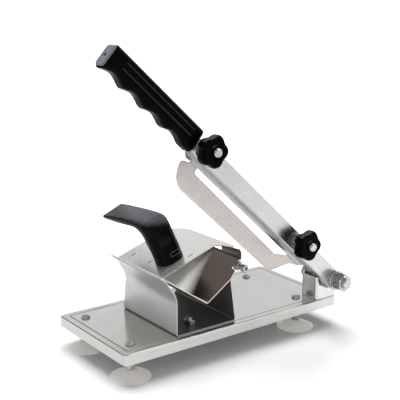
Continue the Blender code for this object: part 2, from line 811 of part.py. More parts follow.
def drill_solid(places, radius, low, high):
    bm = bmesh.new()
    for x, y, z in places:
        made = bmesh.ops.create_cone(bm, cap_ends=True, segments=16, radius1=radius,
                                     radius2=radius, depth=high - low)["verts"]
        bmesh.ops.translate(bm, verts=made, vec=(x, y, z + (high + low) / 2))
    return bm


def build_pivot():
    """Bolt, spacer, washers and nut, stacked toward the front on the pivot's axis."""
    x, z = pivot_x(), BASE_TOP + PIVOT_RISE
    spacer_y = bracket_front() - GAP
    washer_y = -(arm_back() + ARM_DEEP) - GAP
    ring_y = washer_y - BIG_WASHER_THICK - GAP
    nut_y = ring_y - LOCK_RING_THICK - GAP
    head_y = bracket_back() + GAP
    length = head_y - nut_y + PIVOT_NUT_TALL + PIVOT_BOLT_SPARE
    bore = M14 + GAP
    rows = (("pivot_bolt", hex_bolt(M14_FLATS, PIVOT_HEAD_TALL, M14, length, 24), head_y),
            ("pivot_spacer", washer(SPACER_RADIUS, bore, SPACER_LONG, 28), spacer_y),
            ("pivot_washer", washer(BIG_WASHER, bore, BIG_WASHER_THICK, 28), washer_y),
            ("pivot_lock_ring", split_ring(LOCK_RING, bore, LOCK_RING_THICK), ring_y),
            ("pivot_nut", turn_all(hex_nut(M14_FLATS, bore, PIVOT_NUT_TALL, 24), CORNER_UP), nut_y))
    for name, bm, y in rows:
        made = piece(name, turn_all(bm, TO_FRONT), steel(name + "_steel"), smooth=ROUND)
        made.location = (x, y, z)


def split_ring(outer, bore, thick):
    """Spring washer: a square ring with a narrow split."""
    steps = 22
    loops = []
    for i in range(steps + 1):
        turn = Matrix.Rotation(LOCK_RING_TURN * i / steps, 3, "Z")
        corners = ((bore, 0, 0), (outer, 0, 0), (outer, 0, thick), (bore, 0, thick))
        loops.append([turn @ Vector(corner) for corner in corners])
    return sweep(loops)


# Arm, in its own frame: x along the arm, y toward the front, z across it

def arm_frame():
    turn = Matrix(((-math.cos(ARM_ANGLE), 0, math.sin(ARM_ANGLE)), (0, -1, 0),
                   (math.sin(ARM_ANGLE), 0, math.cos(ARM_ANGLE))))
    return empty("arm_pivot", (pivot_x(), 0, BASE_TOP + PIVOT_RISE), turn)


def arm_outline(inset):
    """The arm's side view: a round tail at the pivot and softer corners at the grip."""
    tail = ARM_HIGH * TAIL_SHARE
    left, right = inset - ARM_HIGH, ARM_LEN - inset
    low, high = inset - ARM_LOW, ARM_HIGH - inset
    return rounded([(left, high, tail - inset), (left, low, tail - inset),
                    (right, low, ARM_END_ROUND - inset), (right, high, ARM_END_ROUND - inset)])


def build_arm(parent):
    """Folded channel, open at the back, with a tang that runs into the handle."""
    back = arm_back()
    front = back + ARM_DEEP
    outline = arm_outline(0)
    bm = sweep([[on_xz(u, v, back) for u, v in outline],
                [on_xz(u, v, front - ARM_FILLET) for u, v in outline],
                [on_xz(u, v, front) for u, v in arm_outline(ARM_FILLET)]])
    arm = piece("arm_bar", bm, steel("arm_steel"), parent, smooth=ROUND)
    low, high = ARM_SHEET - ARM_LOW, ARM_HIGH - ARM_SHEET
    end = ARM_LEN - ARM_END_ROUND
    channel = [(SPACER_RADIUS, high), (SPACER_RADIUS, low), (end, low), (end, high)]
    combine(arm, cutter("cut_arm_channel", prism(channel, on_xz, back - OVER, front - ARM_SHEET),
                        parent))
    half = TANG_WIDE / 2
    middle = back + ARM_DEEP / 2
    root, tip = ARM_LEN - ARM_SHEET, ARM_LEN + TANG_LONG
    tang = prism([(root, -half), (tip, -half), (tip, half), (root, half)], on_xz,
                 middle - TANG_THICK / 2, middle + TANG_THICK / 2)
    combine(arm, cutter("add_arm_tang", tang, parent), "UNION")
    drill(arm, [(0, middle, 0)], M14 + GAP, -ARM_DEEP, ARM_DEEP, turn=ALONG_Y, parent=parent,
          steps=24)
    combine(arm, cutter("cut_arm_clamps", clamp_holes(), parent))


def clamp_holes():
    bm = bmesh.new()
    back = arm_back() - HOLDER_THICK - BLADE_THICK - OVER
    front = arm_back() + ARM_DEEP + OVER
    for along in (CLAMP_LOW, ARM_LEN - CLAMP_HIGH_IN):
        made = bmesh.ops.create_cone(bm, cap_ends=True, segments=16, radius1=M10 + GAP,
                                     radius2=M10 + GAP, depth=front - back)["verts"]
        bmesh.ops.rotate(bm, verts=made, cent=(0, 0, 0), matrix=ALONG_Y)
        bmesh.ops.translate(bm, verts=made, vec=(along, (front + back) / 2, CLAMP_OFF))
    return bm


def build_knife(parent):
    """Holder strip behind the arm and the knife behind the holder."""
    holder_front = arm_back() - GAP
    holder_back = holder_front - HOLDER_THICK
    end = ARM_LEN + HOLDER_OUT
    outline = rounded([(HOLDER_START, HOLDER_HIGH, HOLDER_ROUND / 3),
                       (HOLDER_START, -HOLDER_NECK, HOLDER_ROUND / 3),
                       (HOLDER_SLANT, -HOLDER_LOW, HOLDER_ROUND / 3),
                       (end, -HOLDER_LOW, HOLDER_ROUND),
                       (end, HOLDER_HIGH, HOLDER_ROUND / 3)])
    holder = piece("blade_holder", prism(outline, on_xz, holder_back, holder_front),
                   steel("holder_steel"), parent)
    combine(holder, cutter("cut_holder_clamps", clamp_holes(), parent))
    blade_front = holder_back - GAP
    blade = piece("blade", blade_shape(blade_front - BLADE_THICK, blade_front),
                  material("blade_steel", (0.60, 0.57, 0.53), 0.22, 1.0), parent)
    combine(blade, cutter("cut_blade_clamps", clamp_holes(), parent))


def blade_outline():
    """Two tangs for the clamps, a long slot, a slanted heel and a round tip."""
    top, tip = ARM_LEN - BLADE_TOP_IN, ARM_LEN - BLADE_TIP_IN
    slot_top = ARM_LEN - SLOT_TOP_IN
    corners = [(tip, BLADE_HIGH, 0), (slot_top, BLADE_HIGH, 0),
               (slot_top, -SPINE_TOP, SPINE_ROUND),
               (SLOT_LOW_SPINE, -SPINE_BOTTOM, SPINE_ROUND),
               (SLOT_LOW, -HOLDER_LOW, BLADE_SHOULDER_ROUND), (SLOT_LOW, -BLADE_NECK, 0),
               (BLADE_TANG, -BLADE_NECK, 0), (BLADE_TANG, BLADE_HIGH, 0),
               (BLADE_START, BLADE_HIGH, 0), (BLADE_START, -HOLDER_NECK, 0),
               (HOLDER_SLANT, -HOLDER_LOW, 0),
               (HEEL_NECK, -HEEL_NECK_OFF, HEEL_NECK_ROUND),
               (HEEL_EDGE, -BLADE_EDGE, HEEL_EDGE_ROUND), (tip, -BLADE_EDGE, BLADE_TIP_ROUND),
               (tip, -BLADE_SHOULDER, BLADE_SHOULDER_ROUND), (top, -HOLDER_LOW, 0),
               (top, -BLADE_NECK, 0), (tip, -BLADE_NECK, 0)]
    return rounded(corners, 8)


def ground(outline, deep):
    """Draw the outline's edge side in by deep, as grinding does."""
    start = BLADE_EDGE - BLADE_TIP_ROUND
    points = []
    for along, off in outline:
        share = max(0.0, (-off - start) / (BLADE_EDGE - start))
        points.append((along, off + deep * share))
    return points


def blade_shape(back, front):
    """Flat knife, hollow-ground from the back and bevelled in front."""
    outline = blade_outline()
    rows = [(ground(outline, GRIND), back),
            (outline, front - BLADE_EDGE_THICK * 2), (outline, front - BLADE_EDGE_THICK),
            (ground(outline, BEVEL), front)]
    return sweep([[on_xz(u, v, y) for u, v in row] for row, y in rows])


def build_clamp(tag, along, parent):
    head = arm_back() - HOLDER_THICK - BLADE_THICK - GAP * 3
    nut_y = arm_back() + ARM_DEEP + GAP
    washer_y = nut_y + CLAMP_NUT_TALL + GAP
    knob_y = washer_y + CLAMP_WASHER_THICK + GAP
    length = knob_y + KNOB_TALL + KNOB_HUB_TALL + CLAMP_SPARE - head
    rows = (("clamp_bolt_", hex_bolt(M10_FLATS, CLAMP_HEAD_TALL, M10, length, 12), head),
            ("clamp_nut_", hex_nut(M10_FLATS, M10 + GAP, CLAMP_NUT_TALL, 12), nut_y),
            ("clamp_washer_", washer(CLAMP_WASHER, M10 + GAP, CLAMP_WASHER_THICK, 20), washer_y))
    for name, bm, y in rows:
        made = piece(name + tag, turn_all(bm, ALONG_Y), steel(name + "steel_" + tag), parent,
                     smooth=ROUND)
        made.location = (along, y, CLAMP_OFF)
    knob = piece("star_knob_" + tag, turn_all(knob_shape(), ALONG_Y),
                 material("knob_plastic_" + tag, BLACK, 0.25, 0.0), parent, smooth=ROUND)
    knob.location = (along, knob_y, CLAMP_OFF)


def knob_shape():
    """Five-lobed knob with a raised hub, from z 0 up, and a bore for the bolt."""
    count = KNOB_LOBES * 7
    bore = M10 + GAP

    def star(size, z):
        points = []
        for i in range(count):
            angle = WHOLE_TURN * i / count
            wave = (1 + math.cos(KNOB_LOBES * angle)) / 2
            radius = KNOB_WAIST + (KNOB_RADIUS - KNOB_WAIST) * wave ** 0.7
            points.append(Vector((size * radius * math.cos(angle),
                                  size * radius * math.sin(angle), z)))
        return points

    top = KNOB_TALL + KNOB_HUB_TALL
    loops = [ring_points(bore, 0, count)]
    loops += [star(size, KNOB_TALL * rise) for size, rise in KNOB_SIDE_SHARES]
    loops += [ring_points(KNOB_HUB, KNOB_TALL, count), ring_points(KNOB_HUB * KNOB_HUB_SHARE, top, count),
              ring_points(bore, top, count)]
    return sweep(loops, closed=True)


# Handle at the end of the arm

def grip_low(along):
    """Underside of the handle, with a round hollow for each finger."""
    step = (along - ARM_LEN - GRIP_OUT - GRIP_FIRST_IN) / GRIP_PITCH
    inside = 0 < step < GRIP_HOLLOWS
    wave = math.sin(math.pi * (step % 1.0)) ** 1.3 if inside else 0.0
    return GRIP_LOW - GRIP_HOLLOW * wave


def grip_loop(along, shrink=0.0):
    low, high = -grip_low(along) + shrink, GRIP_HIGH - shrink
    middle = arm_back() + ARM_DEEP / 2
    half = GRIP_THICK / 2 - shrink
    radius = GRIP_CORNER - shrink
    outline = rounded([(middle - half, low, radius), (middle + half, low, radius),
                       (middle + half, high, radius), (middle - half, high, radius)], 3)
    return [Vector((along, y, z)) for y, z in outline]


def build_grip(parent):
    steps = 34
    start = ARM_LEN + GRIP_OUT
    end = start + GRIP_LONG
    lip = GRIP_CORNER / 5
    rows = [start + GRIP_LONG * i / steps for i in range(steps + 1)]
    loops = [grip_loop(start, lip), grip_loop(start + lip)]
    loops += [grip_loop(x) for x in rows[1:-1]]
    loops += [grip_loop(end - lip), grip_loop(end, lip)]
    grip = piece("arm_handle", sweep(loops), material("grip_plastic", BLACK, 0.45, 0.0), parent,
                 smooth=ROUND)
    half = TANG_WIDE / 2 + GAP
    thick = TANG_THICK / 2 + GAP
    middle = arm_back() + ARM_DEEP / 2
    tip = ARM_LEN + TANG_LONG + GAP
    slot = prism([(start - OVER, -half), (tip, -half), (tip, half), (start - OVER, half)], on_xz,
                 middle - thick, middle + thick)
    combine(grip, cutter("cut_grip_slot", slot, parent))
    combine(grip, cutter("cut_grip_grooves", grip_grooves(start, middle), parent))
    build_cap(end, middle, parent)


def grip_grooves(start, middle):
    """Two thin grooves along each side of the handle."""
    bm = bmesh.new()
    along = start + GRIP_GROOVE_IN + GRIP_GROOVE_LONG / 2
    for side in (-1, 1):
        for high in (GRIP_GROOVE_LOW, GRIP_GROOVE_HIGH):
            box = bmesh.ops.create_cube(bm, size=1)["verts"]
            bmesh.ops.scale(bm, verts=box, vec=(GRIP_GROOVE_LONG, GRIP_GROOVE_DEEP * 2,
                                                GRIP_GROOVE))
            bmesh.ops.translate(bm, verts=box, vec=(along, middle + side * GRIP_THICK / 2, high))
    return bm


def build_cap(end, middle, parent):
    """Grey plug on the handle's end, smaller than the handle all round."""
    near, far = end + GAP, end + GAP + CAP_THICK
    loops = [[Vector((x, v.y, v.z)) for v in grip_loop(end, inset)]
             for x, inset in ((near, CAP_IN), ((near + far) / 2, CAP_IN),
                              (far, CAP_IN + CAP_THICK / 2))]
    cap = piece("handle_cap", sweep(loops), material("cap_plastic", (0.55, 0.58, 0.60), 0.4, 0.0),
                parent)
    hole = bmesh.new()
    bmesh.ops.create_cone(hole, cap_ends=True, segments=16, radius1=CAP_HOLE, radius2=CAP_HOLE,
                          depth=CAP_THICK + OVER)
    bmesh.ops.rotate(hole, verts=hole.verts, cent=(0, 0, 0),
                     matrix=Matrix.Rotation(math.pi / 2, 3, "Y"))
    bmesh.ops.translate(hole, verts=hole.verts, vec=((near + far) / 2, middle, 0))
    combine(cap, cutter("cut_cap_hole", hole, parent))


# Presser, in its own frame: x up the slope, y back, z square to the plate

def presser_seat():
    """Foot and slope of the plate, from the left wing to the right wing's top edge."""
    edge = wing_point(RIGHT_WING, TROUGH_SHEET / 2 + GAP)
    along = -(PLATE_FOOT_X - TROUGH_X) / math.cos(LEFT_ANGLE)
    foot = wing_point(-along, TROUGH_SHEET / 2 + GAP)
    return foot, math.atan2(edge.y - foot.y, edge.x - foot.x)


def plate_corner():
    """Where the plate's front edge ends, just past the outside of the flap."""
    foot, slope = presser_seat()
    outside = TROUGH_SHEET * (1 - FLAP_SHARE)
    reach = wing_point(RIGHT_WING).x + outside + PLATE_FLAP_GAP - foot.x
    return reach / math.cos(slope)


def presser_frame():
    foot, slope = presser_seat()
    turn = Matrix(((math.cos(slope), 0, -math.sin(slope)), (0, 1, 0),
                   (math.sin(slope), 0, math.cos(slope))))
    return empty("presser_frame", (foot.x, trough_front() + PRESSER_IN, foot.y), turn)


def build_plate(parent):
    outline = rounded([(0, 0, PLATE_ROUND), (plate_corner(), 0, 0),
                       (PLATE_EAR, PLATE_EAR_Y, PLATE_ROUND),
                       (PLATE_RIGHT, PLATE_BACK, PLATE_CORNER),
                       (0, PLATE_BACK, PLATE_LEFT_ROUND)], 8)
    plate = piece("presser_plate", prism(outline, on_xy, 0, PLATE_THICK),
                  steel("plate_steel"), parent)
    bm = bmesh.new()
    slots = bmesh.new()
    for x in (TOOTH_LEFT, TOOTH_RIGHT):
        for i in range(TOOTH_ROWS):
            y = TOOTH_FIRST + TOOTH_PITCH * i
            tooth(bm, x, y)
            slot(slots, x, y)
    combine(plate, cutter("cut_teeth", slots, parent))
    combine(plate, cutter("add_teeth", bm, parent), "UNION")
    places = stem_screw_places()
    drill(plate, places, STEM_SCREW + GAP, -OVER, OVER, parent=parent)


def tooth(bm, x, y):
    """Lanced tooth: a small wedge bent down through the plate."""
    sunk = PLATE_THICK * TOOTH_SUNK_SHARE
    box = bmesh.ops.create_cube(bm, size=1)["verts"]
    bmesh.ops.scale(bm, verts=box, vec=(TOOTH_LONG, PLATE_THICK, TOOTH_DROP + sunk))
    for v in box:
        if v.co.z < 0:
            v.co.x *= TOOTH_TIP_SHARE
    bmesh.ops.translate(bm, verts=box, vec=(x, y, sunk / 2 - TOOTH_DROP / 2))


def slot(bm, x, y):
    """Opening that the tooth leaves in the plate, just in front of it."""
    box = bmesh.ops.create_cube(bm, size=1)["verts"]
    bmesh.ops.scale(bm, verts=box, vec=(TOOTH_LONG, PLATE_THICK * SLOT_WIDE_SHARE, OVER * 2))
    bmesh.ops.translate(bm, verts=box, vec=(x, y - PLATE_THICK, 0))


# Stations of the presser handle, from its foot to the palm's end. Each gives the outer and
# the inner point of a section, back and up, as shares of the reach and the rise; then its
# left and right sides as shares of the width, the rounding as a share of the section, and
# how far the right side lies behind the left one, as a share of the width.
HANDLE_SHARES = (
    (0.116, 0.000, 0.328, 0.000, 0.13, 1.08, 0.94, 0.0),
    (0.111, 0.140, 0.321, 0.160, 0.11, 1.05, 0.94, 0.0),
    (0.107, 0.300, 0.316, 0.340, 0.08, 1.02, 0.92, 0.0),
    (0.110, 0.470, 0.312, 0.520, 0.03, 0.98, 0.90, 0.0),
    (0.118, 0.630, 0.312, 0.670, 0.00, 0.96, 0.88, 0.0),
    (0.132, 0.780, 0.322, 0.770, -0.02, 0.95, 0.84, 0.0),
    (0.152, 0.900, 0.346, 0.826, -0.03, 0.95, 0.80, 0.0),
    (0.184, 0.975, 0.384, 0.855, -0.03, 0.95, 0.76, 0.0),
    (0.240, 1.010, 0.435, 0.858, -0.02, 0.94, 0.74, 0.02),
    (0.330, 1.005, 0.490, 0.838, -0.01, 0.94, 0.74, 0.05),
    (0.480, 0.980, 0.590, 0.808, 0.00, 0.94, 0.74, 0.06),
    (0.660, 0.935, 0.720, 0.780, 0.01, 0.94, 0.76, 0.09),
    (0.840, 0.885, 0.865, 0.764, 0.02, 0.94, 0.80, 0.13),
    (0.955, 0.850, 0.960, 0.764, 0.02, 0.92, 0.86, 0.16),
    (0.992, 0.825, 0.992, 0.776, 0.04, 0.88, 0.90, 0.17),
)


def handle_loop(y_out, z_out, y_in, z_in, left, right, soft, behind):
    """Rounded section between an outer and an inner point."""
    foot = PLATE_THICK + GAP
    outer = Vector((0, PALM_REACH * y_out, foot + PALM_RISE * z_out))
    inner = Vector((0, PALM_REACH * y_in, foot + PALM_RISE * z_in))
    across = (inner - outer).normalized()
    half_t, half_w = (inner - outer).length / 2, STEM_WIDE * (right - left) / 2
    middle = Vector((STEM_LEFT + STEM_WIDE * left + half_w, 0, 0)) + (outer + inner) / 2
    radius = min(half_t, half_w) * soft
    outline = rounded([(-half_w, -half_t, radius), (half_w, -half_t, radius),
                       (half_w, half_t, radius), (-half_w, half_t, radius)], 5)
    return [middle + Vector((u, u * behind, 0)) + across * v for u, v in outline]


def stem_middle():
    """Middle of the handle's foot, across and back."""
    front, _, back, _, left, right = HANDLE_SHARES[0][:6]
    return STEM_LEFT + STEM_WIDE * (left + right) / 2, PALM_REACH * (front + back) / 2


def stem_screw_places():
    x, y = stem_middle()
    return [(x, y - STEM_SCREW_PITCH / 2, 0), (x, y + STEM_SCREW_PITCH / 2, 0)]


def build_presser_handle(parent):
    foot = PLATE_THICK + GAP
    handle = piece("presser_handle", sweep([handle_loop(*row) for row in HANDLE_SHARES]),
                   material("presser_plastic", BLACK, 0.12, 0.0), parent, smooth=ROUND)
    drill(handle, stem_screw_places(), STEM_SCREW + GAP, 0, foot + STEM_SCREW_DEEP, parent=parent)
    middle, rise = stem_middle()[0] + RECESS_RIGHT, foot + RECESS_RISE
    outline = rounded([(middle - RECESS_HALF, rise - RECESS_RADIUS, RECESS_RADIUS),
                       (middle + RECESS_HALF, rise - RECESS_RADIUS, RECESS_RADIUS),
                       (middle + RECESS_HALF, rise + RECESS_RADIUS, RECESS_RADIUS),
                       (middle - RECESS_HALF, rise + RECESS_RADIUS, RECESS_RADIUS)])
    bottom = PALM_REACH * HANDLE_SHARES[0][0] + RECESS_DEEP
    combine(handle, cutter("cut_stem_recess", prism(outline, on_xz, 0, bottom), parent))
    for tag, (x, y, _) in zip(("front", "back"), stem_screw_places()):
        screw = round_screw(STEM_SCREW_HEAD, STEM_SCREW_HEAD / 2, STEM_SCREW,
                            foot + STEM_SCREW_DEEP - GAP, 12)
        turn_all(screw, Matrix.Rotation(math.pi, 3, "X"))
        made = piece("presser_screw_" + tag, screw, steel("presser_screw_steel_" + tag), parent,
                     smooth=ROUND)
        made.location = (x, y, -GAP)


def centre_on_floor():
    """Hang everything on one empty and move it over the middle of the outer box."""
    root = empty("slicer", (0, 0, 0), Matrix.Identity(3))
    for thing in bpy.context.collection.objects:
        if thing.parent is None and thing is not root:
            thing.parent = root
    bpy.context.view_layer.update()
    points = [thing.matrix_world @ vert.co for thing in bpy.context.collection.objects
              if thing.type == "MESH" and not thing.hide_render for vert in thing.data.vertices]
    low = [min(p[i] for p in points) for i in range(3)]
    high = [max(p[i] for p in points) for i in range(3)]
    root.location = (-(low[0] + high[0]) / 2, -(low[1] + high[1]) / 2, -low[2])


def build():
    clear_scene()
    build_tray()
    for tag, side_x, side_y in (("front_left", -1, -1), ("front_right", 1, -1),
                                ("back_left", -1, 1), ("back_right", 1, 1)):
        build_foot(tag, *foot_place(side_x, side_y))
    build_trough()
    build_guide()
    build_stand()
    build_bracket()
    build_pivot()
    arm = arm_frame()
    build_arm(arm)
    build_knife(arm)
    build_clamp("low", CLAMP_LOW, arm)
    build_clamp("high", ARM_LEN - CLAMP_HIGH_IN, arm)
    build_grip(arm)
    presser = presser_frame()
    build_plate(presser)
    build_presser_handle(presser)
    centre_on_floor()


build()
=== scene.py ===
"""Looks for the hand slicer: a steel tray on suction feet, a V trough with a sliding
presser, and a knife arm. Lengths are metres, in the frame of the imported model.
"""
import math
from collections import namedtuple

import bmesh
import bpy
from mathutils import Matrix, Vector


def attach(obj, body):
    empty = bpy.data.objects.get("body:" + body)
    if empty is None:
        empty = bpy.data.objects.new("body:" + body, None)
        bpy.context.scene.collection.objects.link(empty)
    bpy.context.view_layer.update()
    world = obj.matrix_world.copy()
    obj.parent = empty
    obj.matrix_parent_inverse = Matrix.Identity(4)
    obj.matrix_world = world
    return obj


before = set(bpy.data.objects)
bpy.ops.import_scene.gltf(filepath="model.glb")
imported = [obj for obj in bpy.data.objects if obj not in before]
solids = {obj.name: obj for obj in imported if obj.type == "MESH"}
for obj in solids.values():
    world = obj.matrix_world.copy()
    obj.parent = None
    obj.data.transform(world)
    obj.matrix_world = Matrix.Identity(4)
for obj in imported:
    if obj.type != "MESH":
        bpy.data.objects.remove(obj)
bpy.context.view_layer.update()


# Studio
# A long lens looks down on the slicer from its left front corner. The floor and the
# surroundings are white, and one soft lamp above and behind throws the shadow forward.

CAMERA_PLACE = Vector((-0.66627, -0.91496, 0.47629))
CAMERA_RIGHT = Vector((0.80081, -0.59891, 0.00273))
CAMERA_UP = Vector((0.14634, 0.20009, 0.96879))
CAMERA_NEAR, CAMERA_FAR = 0.05, 50
PHOTO_SIDE = 400
FOCAL_PIXELS = 902.7
SENSOR_WIDTH = 36.0
UP = (0.0, 0.0, 1.0)
WHITE = (1.0, 1.0, 1.0, 1.0)
PLAIN_LIGHT = 0.34
ROOM_BY_HEIGHT = ((0.0, 0.92), (0.62, 0.92), (0.80, 0.42), (1.0, 0.50))
Patch = namedtuple("Patch", "aim inner outer colour")
CURTAIN = Patch(aim=(-0.270, 0.667, 0.695), inner=14, outer=31, colour=(0.13, 0.105, 0.085))
SOFTBOX = Patch(aim=(0.54, -0.23, 0.81), inner=6, outer=12, colour=(4.0, 4.0, 4.1))
FLOOR_REACH = 14.0
FLOOR_WHITE = (0.97, 0.97, 0.97, 1.0)
GLOW_NEAR, GLOW_FAR = 0.20, 0.50
GLOW_HIDDEN_FROM_METAL = 0.65


def add(tree, kind, **settings):
    """New shader node with its settings."""
    made = tree.nodes.new(kind)
    for name, value in settings.items():
        setattr(made, name, value)
    return made


def calculated(tree, operation, *values):
    """Math node over sockets and numbers."""
    made = add(tree, "ShaderNodeMath", operation=operation)
    for socket, value in zip(made.inputs, values):
        if isinstance(value, bpy.types.NodeSocket):
            tree.links.new(value, socket)
        else:
            socket.default_value = value
    return made.outputs[0]


def along(tree, source, aim):
    """How far a vector goes along an aim."""
    made = add(tree, "ShaderNodeVectorMath", operation="DOT_PRODUCT")
    made.inputs[1].default_value = aim
    tree.links.new(source, made.inputs[0])
    return made.outputs["Value"]


def range_of(tree, source, low, high, start=0.3, end=0.7, kind="LINEAR"):
    """Map a value that runs from start to end, as noise does from 0.3 to 0.7, onto low to
    high."""
    made = add(tree, "ShaderNodeMapRange", interpolation_type=kind)
    for name, value in (("From Min", start), ("From Max", end), ("To Min", low),
                        ("To Max", high)):
        made.inputs[name].default_value = value
    tree.links.new(source, made.inputs["Value"])
    return made.outputs["Result"]


def mixed(tree, amount, first, second):
    """Colour between two colours or colour outputs."""
    made = add(tree, "ShaderNodeMix", data_type="RGBA")
    tree.links.new(amount, made.inputs["Factor"])
    for socket, colour in ((made.inputs[6], first), (made.inputs[7], second)):
        if isinstance(colour, tuple):
            socket.default_value = (*colour, 1.0)
        else:
            tree.links.new(colour, socket)
    return made.outputs[2]


def chosen(tree, amount, first, second):
    """Mix of two nodes' shaders."""
    made = add(tree, "ShaderNodeMixShader")
    tree.links.new(amount, made.inputs["Fac"])
    tree.links.new(first.outputs[0], made.inputs[1])
    tree.links.new(second.outputs[0], made.inputs[2])
    return made


def shown_rays(tree):
    """1 for the camera and for what metal and glass show, and 1 for metal alone."""
    path = add(tree, "ShaderNodeLightPath")
    metal = path.outputs["Is Glossy Ray"]
    seen = calculated(tree, "MAXIMUM", path.outputs["Is Camera Ray"], metal)
    return calculated(tree, "MAXIMUM", seen, path.outputs["Is Transmission Ray"]), metal


def surface(name):
    """New material with its tree and its shader."""
    made = bpy.data.materials.new(name)
    made.use_nodes = True
    return made, made.node_tree, made.node_tree.nodes["Principled BSDF"]


def place_camera():
    """Camera at the photograph's place, with its right, up and backward directions."""
    data = bpy.data.cameras.new("camera")
    data.sensor_width = SENSOR_WIDTH
    data.lens = FOCAL_PIXELS / PHOTO_SIDE * SENSOR_WIDTH
    data.clip_start, data.clip_end = CAMERA_NEAR, CAMERA_FAR
    camera = bpy.data.objects.new("camera", data)
    bpy.context.scene.collection.objects.link(camera)
    back = CAMERA_RIGHT.cross(CAMERA_UP)
    turn = Matrix((CAMERA_RIGHT, CAMERA_UP, back)).transposed()
    camera.matrix_world = Matrix.Translation(CAMERA_PLACE) @ turn.to_4x4()
    bpy.context.scene.camera = camera


def light_surroundings():
    """White to the camera; metal shows a pale room, a brown curtain and a small softbox."""
    world = bpy.data.worlds.new("surroundings")
    bpy.context.scene.world = world
    world.use_nodes = True
    tree = world.node_tree
    plain = tree.nodes["Background"]
    plain.inputs["Color"].default_value = WHITE
    plain.inputs["Strength"].default_value = PLAIN_LIGHT
    direction = add(tree, "ShaderNodeTexCoord").outputs["Generated"]
    ramp = add(tree, "ShaderNodeValToRGB")
    ramp.color_ramp.interpolation = "EASE"
    while len(ramp.color_ramp.elements) < len(ROOM_BY_HEIGHT):
        ramp.color_ramp.elements.new(0.5)
    for stop, (height, level) in zip(ramp.color_ramp.elements, ROOM_BY_HEIGHT):
        stop.position = height
        stop.color = (level, level, level, 1.0)
    tree.links.new(along(tree, direction, UP), ramp.inputs["Fac"])
    room = ramp.outputs["Color"]
    for patch in (CURTAIN, SOFTBOX):
        inside = range_of(tree, along(tree, direction, Vector(patch.aim).normalized()), 0.0, 1.0,
                          start=math.cos(math.radians(patch.outer)),
                          end=math.cos(math.radians(patch.inner)), kind="SMOOTHSTEP")
        room = mixed(tree, inside, room, patch.colour)
    mirrored = add(tree, "ShaderNodeBackground")
    tree.links.new(room, mirrored.inputs["Color"])
    white = add(tree, "ShaderNodeBackground")
    white.inputs["Color"].default_value = WHITE
    shown, metal = shown_rays(tree)
    choice = chosen(tree, shown, plain, chosen(tree, metal, white, mirrored))
    tree.links.new(choice.outputs[0], tree.nodes["World Output"].inputs["Surface"])


def lay_floor():
    """White floor: it takes the shadow, and glows a little for the camera and mirrors."""
    bm = bmesh.new()
    bmesh.ops.create_grid(bm, x_segments=1, y_segments=1, size=FLOOR_REACH)
    mesh = bpy.data.meshes.new("floor")
    bm.to_mesh(mesh)
    bm.free()
    floor = bpy.data.objects.new("floor", mesh)
    bpy.context.scene.collection.objects.link(floor)
    made, tree, shader = surface("floor_white")
    shader.inputs["Base Color"].default_value = FLOOR_WHITE
    shader.inputs["Roughness"].default_value = 1.0
    shader.inputs["Specular IOR Level"].default_value = 0.0
    away = add(tree, "ShaderNodeVectorMath", operation="LENGTH")
    tree.links.new(add(tree, "ShaderNodeTexCoord").outputs["Object"], away.inputs[0])
    spread = range_of(tree, away.outputs["Value"], 0.0, 1.0, start=GLOW_NEAR, end=GLOW_FAR,
                      kind="SMOOTHSTEP")
    shown, metal = shown_rays(tree)
    dimmed = calculated(tree, "MULTIPLY_ADD", metal, -GLOW_HIDDEN_FROM_METAL, shown)
    glow = add(tree, "ShaderNodeEmission")
    tree.links.new(calculated(tree, "MULTIPLY", spread, dimmed), glow.inputs["Strength"])
    both = add(tree, "ShaderNodeAddShader")
    tree.links.new(shader.outputs[0], both.inputs[0])
    tree.links.new(glow.outputs[0], both.inputs[1])
    tree.links.new(both.outputs[0], tree.nodes["Material Output"].inputs["Surface"])
    mesh.materials.append(made)


def hang_lamp(name, place, aim, size, power):
    """Round soft lamp that mirrors don't show; they show the surroundings instead."""
    data = bpy.data.lights.new(name, "AREA")
    data.shape = "DISK"
    data.size = size
    data.energy = power
    lamp = bpy.data.objects.new(name, data)
    bpy.context.scene.collection.objects.link(lamp)
    lamp.location = place
    lamp.rotation_euler = (Vector(aim) - Vector(place)).to_track_quat("-Z", "Y").to_euler()
    lamp.visible_glossy = False


place_camera()
light_surroundings()
lay_floor()
hang_lamp("lamp_above", place=(0.10, 0.30, 1.60), aim=(0, 0, 0.05), size=1.5, power=31)
hang_lamp("lamp_front", place=(-1.1, -1.3, 1.3), aim=(0, 0, 0.1), size=1.0, power=2.5)
bpy.context.scene.view_settings.view_transform = "Standard"


# Tray
# The tray is a folded stainless sheet with a pressed bead round its top. Its brushing
# runs along the sheet, and handling has left soft smudges on it.

RIGHT = (1.0, 0.0, 0.0)
FINE, LENGTH, SMUDGE = 900.0, 14.0, 22.0
STREAK_DARK, STREAK_SHARE = 0.90, 0.55
Zone = namedtuple("Zone", "source aim start end colour metallic rougher", defaults=(1.0, 0.0))
# Painted shade: faces that look left (-X) are given a darker colour.
LEFT_SKIRT_SHADE = Zone("Normal", aim=(-1.0, 0.0, 0.0), start=0.6, end=0.9,
                  colour=(0.50, 0.50, 0.49), rougher=0.05)
Inside = namedtuple("Inside", "middle colour")


def noise(tree, vector, scale, detail=2.0, roughness=0.5):
    """Soft noise over a vector; the scale is a number or a socket."""
    made = add(tree, "ShaderNodeTexNoise")
    made.inputs["Detail"].default_value = detail
    made.inputs["Roughness"].default_value = roughness
    tree.links.new(vector, made.inputs["Vector"])
    if isinstance(scale, bpy.types.NodeSocket):
        tree.links.new(scale, made.inputs["Scale"])
    else:
        made.inputs["Scale"].default_value = scale
    return made.outputs["Fac"]


